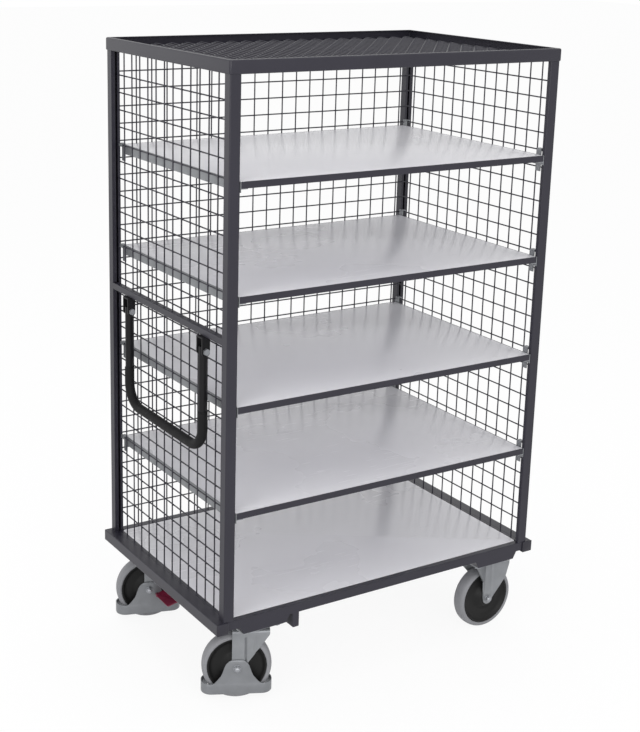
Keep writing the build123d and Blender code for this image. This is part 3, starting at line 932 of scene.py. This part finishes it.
@dataclass
class FixedFork(PressedFork):
    """Fork of a fixed caster: legs with edges folded out to the corners of a plate off the axle's middle."""

    cells: tuple[int, int] = (64, 44)
    foot: float = 0.018
    top: float = 0.137
    back: float = -0.0803
    front: float = 0.0499
    lean: float = 0.0358
    knee: Point = (-0.0220, 0.0595)
    brow: Point = (0.0436, 0.0754)
    plate: float = 0.005
    plate_offset: float = -0.016
    plate_half: float = 0.0685
    plate_corner: float = 0.008
    notches: Span = (-0.0685, 0.0365)
    notch_half: float = 0.0105
    notch_depth: float = 0.008

    def in_notch(self, place: Vector) -> bool:
        """Whether a place is in the room that the leg leaves for a plate bolt."""
        gap = min(abs(place.x - notch) for notch in self.notches)
        return gap < self.notch_half and place.z > self.top - self.notch_depth

    def model(self) -> Piece:
        """Models the fork with its plate about the axle."""
        leg = self.leg("fixed_fork", (self.back, self.front), (-self.foot, self.top))
        fold = (0.0, -self.lean, 0.0)
        for edge in (self.back, self.front):
            leg.press(lambda place: near(place.x, edge), fold, abs(edge) - self.foot, Falloff.STRAIGHT)
        self.groove(leg, Groove(x=0.0, half=0.0145, low=0.022, high=1.0, depth=0.0022, reach=0.0035))
        sole = arc(self.foot, -20.0, -160.0, 10)
        right = [(self.front, self.top), (self.front, 0.9 * self.top), self.brow, *sole]
        low_left, high_left = [sole[-1], self.knee], [self.knee, (self.back, self.top)]
        leg.trim_outline(right, self.middle)
        leg.trim_outline(low_left, self.middle, lambda place: place.z < self.knee[1])
        leg.trim_outline(high_left, self.middle, lambda place: place.z > self.knee[1])
        leg.drop_faces(self.in_notch)
        return self.finish(leg).join(self.base()).smooth()

    def base(self) -> Piece:
        """Models the plate with its rounded corners."""
        half = self.plate_half
        x = (self.plate_offset - half, self.plate_offset + half)
        plate = Piece.block("plate", x, (-half, half), (self.top, self.top + self.plate))
        plate.pick(Pick.EDGE, lambda place: near(place.z, self.top + self.plate / 2))
        return plate.round_picked(self.plate_corner, 6).soften(0.0006)


@dataclass
class FootGuard:
    """Skirt round the foot of a swivel wheel that rises on both sides in a bell to the axle."""

    half_length: float = 0.101
    half_width: float = 0.033
    sheet: float = 0.003
    edge: float = 0.0009
    low: float = -0.080
    high: float = -0.048
    corner: float = 0.030
    flank: Sequence[Point] = (
        (0.0650, -0.0455), (0.0605, -0.0410), (0.0545, -0.0340), (0.0465, -0.0240),
        (0.0415, -0.0130), (0.0382, -0.0030), (0.0350, 0.0070), (0.0305, 0.0150),
        (0.0245, 0.0210), (0.0175, 0.0250), (0.0080, 0.0262),
    )

    def model(self) -> Piece:
        """Models the guard about the axle."""
        half_x = self.half_length - self.sheet / 2
        half_y = self.half_width - self.sheet / 2
        guard = Piece.block("guard", (-half_x, half_x), (-half_y, half_y), (self.low, self.high))
        middle = halfway((self.low, self.high))
        guard.pick(Pick.EDGE, lambda place: near(place.z, middle))
        guard.round_picked(self.corner - self.sheet / 2, 8)
        guard.drop_faces(lambda place: not near(place.z, middle))
        guard.pick(Pick.EDGE, lambda place: near(place.x, 0.0) and near(place.z, self.high))
        width, height = half_x - self.corner + self.sheet / 2, self.high
        for next_width, next_height in self.flank:
            guard.extend((0.0, 0.0, next_height - height), (next_width / width, 1.0, 1.0))
            width, height = next_width, next_height
        return guard.as_sheet_metal(self.sheet, self.edge)


@dataclass
class BrakePedal:
    """Dark red foot pedal: a flared tread with a raised border, on a short shaft through the guard."""

    root: Span = (-0.006, 0.030)
    tip: Span = (0.017, 0.067)
    reach: float = 0.088
    half_thickness: float = 0.0025
    corner: float = 0.005
    border: float = 0.0045
    sunk: float = 0.0007
    tilt: float = 22.0
    slope: float = 6.0
    outside: float = 0.0338
    inside: float = 0.0292
    shaft: float = 0.005
    hub_length: float = 0.016
    collar: float = 0.008
    collar_width: float = 0.003
    shaft_hole: float = 0.0006
    sides: int = 40

    def tread(self) -> Piece:
        """Models the tread level, from its root at the origin towards -Y."""
        half = self.half_thickness
        tread = Piece.block("pedal", self.root, (-self.reach, 0.0), (-half, half))
        middle = halfway(self.root)
        widen = length(self.tip) / length(self.root)
        tread.pick(Pick.FACE, lambda place: near(place.y, -self.reach))
        bpy.ops.transform.resize(value=(widen, 1.0, 0.8), center_override=(middle, 0.0, 0.0))
        bpy.ops.transform.translate(value=(halfway(self.tip) - middle, 0.0, 0.0))
        tread.pick(Pick.EDGE, lambda place: near(place.z, 0.0))
        tread.round_picked(self.corner, 4)
        tread.sink_face(lambda place: place.z > 0.8 * half, self.border, self.sunk)
        return tread.merge().soften(0.0009)

    def model(self) -> Piece:
        """Models the pedal about its pivot, which runs along Y."""
        tilt = Matrix.Rotation(math.radians(-self.tilt), 4, "Y")
        slope = Matrix.Rotation(math.radians(self.slope), 4, "X")
        tread = self.tread().place(Matrix.Translation((0.0, -self.outside, 0.0)) @ (tilt @ slope))
        tip = self.outside + self.hub_length
        back = self.inside - self.collar_width
        shaft = Piece.turned("pedal_shaft", [
            (self.shaft_hole, back), (self.collar, back), (self.collar, self.inside),
            (self.shaft, self.inside), (self.shaft, tip - 0.0015), (self.shaft - 0.0015, tip),
            (self.shaft_hole, tip),
        ], self.sides)
        return tread.join(shaft.place(AXLE_FROM_Z)).smooth()


@dataclass
class Casters:
    """All four casters: two swivel ones with guards, one with a brake pedal, and two fixed ones."""

    guard_seat: float = 0.033
    fork_seat: float = 0.030

    def build(self, paints: Paints, joints: Joints) -> None:
        """Makes the pieces of every caster.

        Args:
            paints: The materials.
            joints: Places of the joints.
        """
        wheel = Wheel()
        fixed_bolts: list[Piece] = []
        for end in ("front", "rear"):
            word = f"{end}_swivel"
            place = joints.frame_of(f"{word}_roll")
            wheel.build(paints, word, place)
            # The guards get the zinc with painted shade
            pressed = (("fork", SwivelFork().model(), "zinc"), ("guard", FootGuard().model(), "shaded_guard_zinc"))
            for part, piece, finish in pressed:
                node = f"{word}_{part}"
                piece.place(place)
                piece.hand_over(paints, "zinc", word, node, name=f"{node}_pressed", finish=finish)
            axle = AxleBolt(self.guard_seat).model().place(place @ AXLE_FROM_Z)
            node = f"{word}_axle"
            axle.hand_over(paints, "zinc", word, node, name=f"{node}_bolt", finish="bright_zinc")
            word = f"{end}_fixed"
            place = joints.frame_of(f"{word}_roll")
            wheel.build(paints, word, place)
            node = f"{word}_fork"
            FixedFork().model().place(place).hand_over(paints, "zinc", "frame", node, name=f"{node}_pressed")
            fixed_bolts.append(AxleBolt(self.fork_seat).model().place(place @ AXLE_FROM_Z))
        bolts = fixed_bolts[0].join(*fixed_bolts[1:])
        bolts.hand_over(paints, "zinc", "frame", "fixed_axles", name="fixed_axle_bolts", finish="bright_zinc")
        pedal = BrakePedal().model().place(joints.frame_of("brake_press"))
        pedal.hand_over(paints, "pedal", "pedal", "brake_pedal", name="brake_pedal_moulded")


# Top, walls and boards
@dataclass
class TopRing:
    """Rail ring round the top: an upright sheet with a rolled upper edge, a lip and a lower flange."""

    node: str = "top_ring"
    sheet: float = 0.0025
    lip: float = 0.010
    flange: float = 0.027
    corner: float = 0.004
    roll: float = 0.0035
    crease: float = 0.0020
    edge: float = 0.0005

    def build(self, paints: Paints) -> None:
        """Makes the ring from its upright sheet."""
        low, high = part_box(self.node)
        half = self.sheet / 2
        x, y, z = ((a + half, b - half) for a, b in zip(low, high))
        middle = halfway(z)
        ring = Piece.block("top_rail_ring", x, y, z)
        ring.pick(Pick.EDGE, lambda place: near(place.z, middle)).round_picked(self.corner, 5)
        ring.drop_faces(lambda place: not near(place.z, middle))
        for level, width in ((z[1], self.lip - half), (z[0], self.flange - half)):
            ring.pick(Pick.EDGE, lambda place: near(place.z, level))
            ring.extend((0.0, 0.0, 0.0), (1.0 - width / x[1], 1.0 - width / y[1], 1.0))

        def outside(place: Vector) -> bool:
            """Whether a place is on the upright sheet."""
            gap_x, gap_y = x[1] - abs(place.x), y[1] - abs(place.y)
            return min(gap_x, gap_y) < NEAR or max(gap_x, gap_y) < self.corner

        for level, radius in ((z[1], self.roll), (z[0], self.crease)):
            ring.pick(Pick.EDGE, lambda place: near(place.z, level) and outside(place))
            ring.round_picked(radius, 5)
        ring.as_sheet_metal(self.sheet, self.edge)
        ring.hand_over(paints, "frame_paint", "frame", self.node)


@dataclass
class TopSheet:
    """Expanded metal in the top ring: tilted wavy strands that meet in staggered bonds."""

    node: str = "top_mesh"
    pitch_x: float = 0.050
    pitch_y: float = 0.060
    strand: float = 0.0050
    overlap: float = 0.0015
    sheet: float = 0.0034
    lean: float = 0.0050
    cells: int = 12

    def strand_pair(self, low: Vector) -> Piece:
        """Models two neighbouring strands over one pitch, which bend away from each other.

        Args:
            low: Corner of the sheet where the pair starts.

        Returns:
            The pair as sheets with no thickness yet.
        """
        half = self.pitch_y / 2
        swing = half - self.strand + self.overlap
        x = (low.x, low.x + self.pitch_x)
        pair: list[Piece] = []
        for row, way in ((0, 1), (1, -1)):
            middle = low.y + row * half
            centre = (halfway(x), middle, low.z + self.sheet + row * self.lean)
            piece = Piece.sheet("top_strand", (self.pitch_x, self.strand), centre, (self.cells, 1))
            piece.press(lambda place: place.y < middle, (0.0, 0.0, self.lean))
            bend = (0.0, way * swing, way * self.lean)
            piece.press(lambda place: near(place.x, halfway(x)), bend, self.pitch_x / 2)
            piece.place(Matrix.Translation((0.0, -way * swing / 2, 0.0)))
            pair.append(piece)
        return pair[0].join(pair[1])

    def build(self, paints: Paints) -> None:
        """Makes the sheet inside the ring."""
        low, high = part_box(self.node)
        sheet = self.strand_pair(low)
        sheet.repeat(math.ceil((high.x - low.x) / self.pitch_x), (self.pitch_x, 0.0, 0.0))
        sheet.repeat(math.ceil((high.y - low.y) / self.pitch_y) + 1, (0.0, self.pitch_y, 0.0))
        for side, corner in ((-1.0, low), (1.0, high)):
            sheet.trim(corner, (side, 0.0, 0.0))
            sheet.trim(corner, (0.0, side, 0.0))
        sheet.merge().thicken(self.sheet)
        sheet.hand_over(paints, "frame_paint", "frame", self.node, name="top_expanded_sheet")


@dataclass(frozen=True)
class WireWall:
    """Grid of crossings of one wire wall, with its uprights in a row along axis 0 for X or 1 for Y."""

    word: str
    first: Triple
    axis: int
    uprights: int


@dataclass
class WallWelds:
    """Weld spots where the wires of the mesh walls cross."""

    pitch: float = 0.050
    rows: int = 28
    spot: float = 0.0052
    depth: float = 0.0026
    walls: Sequence[WireWall] = (
        WireWall("left", (-0.516, -0.311, 0.353), 1, 13),
        WireWall("right", (0.516, -0.311, 0.367), 1, 13),
        WireWall("rear", (-0.458, 0.332, 0.364), 0, 20),
    )

    def build(self, paints: Paints) -> None:
        """Models one spot of each wall and copies it over the crossings."""
        for wall in self.walls:
            row, size = [0.0] * 3, [self.spot] * 3
            row[wall.axis] = self.pitch
            size[1 - wall.axis] = self.depth
            spots = Piece.bead(f"{wall.word}_mesh_welds", size, wall.first).smooth(60.0)
            spots.repeat(wall.uprights, row).repeat(self.rows, (0.0, 0.0, self.pitch))
            spots.hand_over(paints, "mesh_paint", "frame")


@dataclass
class Boards:
    """The base board and the shelf boards, with softened laminate edges."""

    shelves: int = 4
    edge: float = 0.0009
    base_corner: float = 0.008

    def build(self, paints: Paints) -> None:
        """Makes every board from the box of its node."""
        for node in ("base_board", *(f"shelf_{number}_board" for number in range(1, self.shelves + 1))):
            low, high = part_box(node)
            board = Piece.block(f"{node}_laminated", *zip(low, high))
            if node == "base_board":
                board.pick(Pick.EDGE, lambda place: near(place.z, halfway((low.z, high.z))))
                board.round_picked(self.base_corner, 6)
            board.soften(self.edge).smooth().hand_over(paints, "board", "frame", node)


@dataclass
class BarCaps:
    """Plastic caps in the ends of the two end bars."""

    node: str = "end_bar_caps"
    width: float = 0.036
    thickness: float = 0.003
    edge: float = 0.0028

    def build(self, paints: Paints) -> None:
        """Makes all four caps as one piece."""
        low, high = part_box(self.node)
        caps: list[Piece] = []
        for x in ((low.x, low.x + self.width), (high.x - self.width, high.x)):
            for y in ((low.y, low.y + self.thickness), (high.y - self.thickness, high.y)):
                caps.append(Piece.block(self.node, x, y, (low.z, high.z)).soften(self.edge, 3))
        piece = caps[0].join(*caps[1:]).smooth()
        piece.hand_over(paints, "cap", "frame", self.node, name=f"{self.node}_moulded")


# Studio
@dataclass(frozen=True)
class Lamp:
    """Square soft lamp that faces the middle of the trolley."""

    name: str
    place: Triple
    size: float
    power: float


@dataclass
class Studio:
    """Pale floor, white surroundings, soft lamps and the camera."""

    floor_size: float = 60.0
    floor_glow: float = 0.90
    ambient: float = 0.90
    aim: Triple = (0.0, 0.0, 0.9)
    lamps: Sequence[Lamp] = (
        Lamp("front_lamp", (-1.4, -4.6, 2.4), 3.0, 90.0),
        Lamp("left_lamp", (-4.3, -2.6, 2.0), 2.2, 46.0),
        Lamp("left_rear_lamp", (-4.5, 5.0, 1.9), 3.4, 30.0),
        Lamp("top_lamp", (0.0, 0.3, 4.8), 3.2, 45.0),
    )
    eye: Triple = (-2.2611, -3.3568, 2.1332)
    turn: Triple = (75.2177, -1.3038, -32.0615)
    lens: float = 68.966
    shift: Span = (0.0429, -0.0985)

    def floor(self) -> None:
        """Lays the floor, which looks white and keeps a soft shadow."""
        select_only()
        bpy.ops.mesh.primitive_plane_add(size=self.floor_size)
        floor = bpy.context.object
        floor.name = "studio_floor"
        recipe = Recipe("studio_floor_white")
        recipe.finish(Base_Color=grey(0.86), Roughness=0.9)
        glow = recipe.node("ShaderNodeEmission", {})
        matt = Value(recipe, recipe.shader.outputs[0])
        mix = recipe.node("ShaderNodeMixShader", {0: recipe.seen() * self.floor_glow, 1: matt, 2: glow})
        recipe.feed(recipe.tree.nodes["Material Output"].inputs["Surface"], mix)
        floor.data.materials.append(recipe.material)

    def surroundings(self) -> None:
        """Makes the world white to look at and of a plain level as a light."""
        world = bpy.data.worlds.new("studio_surroundings")
        bpy.context.scene.world = world
        world.use_nodes = True
        nodes = Nodes(world.node_tree)
        background = world.node_tree.nodes["Background"]
        nodes.feed(background.inputs["Color"], grey(1.0))
        nodes.feed(background.inputs["Strength"], self.ambient + (1.0 - self.ambient) * nodes.seen())

    def hang(self, lamp: Lamp) -> None:
        """Hangs one lamp."""
        data = bpy.data.lights.new(lamp.name, "AREA")
        data.size = lamp.size
        data.energy = lamp.power
        obj = bpy.data.objects.new(lamp.name, data)
        obj.location = lamp.place
        obj.rotation_euler = (Vector(self.aim) - Vector(lamp.place)).to_track_quat("-Z", "Y").to_euler()
        bpy.context.scene.collection.objects.link(obj)

    def camera(self) -> None:
        """Sets up the camera at the photograph's viewing angle."""
        data = bpy.data.cameras.new("camera")
        data.sensor_width = 36.0
        data.lens = self.lens
        data.shift_x, data.shift_y = self.shift
        data.clip_end = 200.0
        camera = bpy.data.objects.new("camera", data)
        camera.location = self.eye
        camera.rotation_euler = [math.radians(angle) for angle in self.turn]
        bpy.context.scene.collection.objects.link(camera)
        bpy.context.scene.camera = camera

    def build(self) -> None:
        """Sets up the whole studio."""
        self.floor()
        self.surroundings()
        for lamp in self.lamps:
            self.hang(lamp)
        self.camera()
        bpy.context.scene.view_settings.view_transform = "Standard"


def main() -> None:
    """Builds the trolley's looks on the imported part."""
    logging.basicConfig(level=logging.INFO, format="%(name)s: %(message)s")
    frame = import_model()
    paints = Paints()
    paints.dress_nodes(frame)
    Casters().build(paints, Joints(frame))
    for assembly in (TopRing(), TopSheet(), WallWelds(), Boards(), BarCaps()):
        assembly.build(paints)
    Studio().build()


if __name__ == "__main__":
    main()
